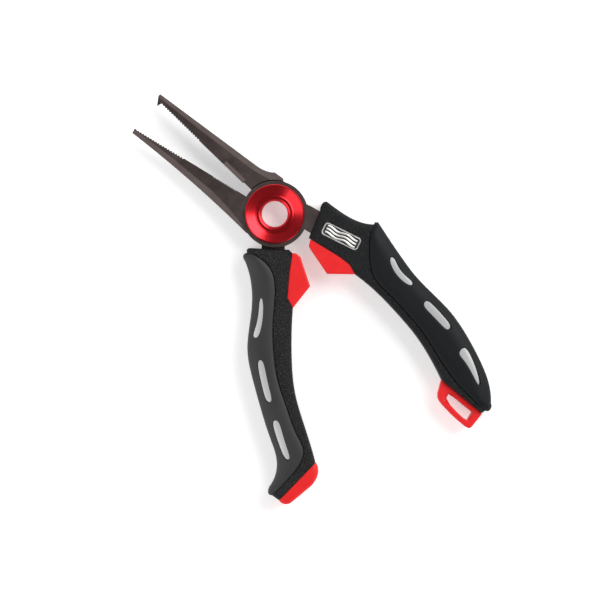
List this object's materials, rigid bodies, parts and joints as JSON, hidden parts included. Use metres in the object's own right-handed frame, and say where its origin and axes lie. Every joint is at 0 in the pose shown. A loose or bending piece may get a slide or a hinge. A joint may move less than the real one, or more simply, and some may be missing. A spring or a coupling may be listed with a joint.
{
  "type": "fishing pliers",
  "caption": "Self-opening needle-nose fishing pliers: toothed jaws, split-ring hook, side cutter, hollow red pivot, offset soft-grip handles, lanyard loop.",
  "frame": {"origin": "centre of the hollow pivot, half way through its height", "axes": "+Z out of the front face (the face with the badge), +Y along the straight jaw's gripping face to the tips, +X to the right, towards the hooked jaw"},
  "size_m": [0.1041, 0.1618, 0.0124],
  "materials": {
    "dark_steel": "satin dark coating",
    "red_anodised": "glossy anodised",
    "washer_brass": "satin",
    "plain_steel": "ground",
    "hard_black": "fine leather texture",
    "soft_black": "smooth matt",
    "red_plastic": "satin moulded",
    "magnet_plating": "nickel plated",
    "badge_metal": "satin"
  },
  "bodies": {
    "straight_lever_body": {"straight_lever": "dark_steel", "pivot_barrel": "red_anodised", "pivot_ring": "red_anodised", "lap_washer": "washer_brass", "bearing_washer": "washer_brass", "stop_pin": "plain_steel", "right_core_front": "hard_black", "right_core_back": "hard_black", "right_grip": "soft_black", "right_magnet_housing": "red_plastic", "right_magnet": "magnet_plating", "lanyard_loop": "red_plastic", "badge": "badge_metal"},
    "hook_lever_body": {"hook_lever": "dark_steel", "left_core_front": "hard_black", "left_core_back": "hard_black", "left_grip": "soft_black", "left_magnet_housing": "red_plastic", "left_magnet": "magnet_plating", "end_cap": "red_plastic"}
  },
  "joints": [
    {"name": "lever_pivot", "type": "hinge", "parent": "straight_lever_body", "child": "hook_lever_body", "pos_m": [0, 0, 0], "axis": [0, 0, 1], "range_deg": [0, 12.5], "stiffness_Nm_per_rad": 1.6, "springref_deg": -3.44}
  ]
}
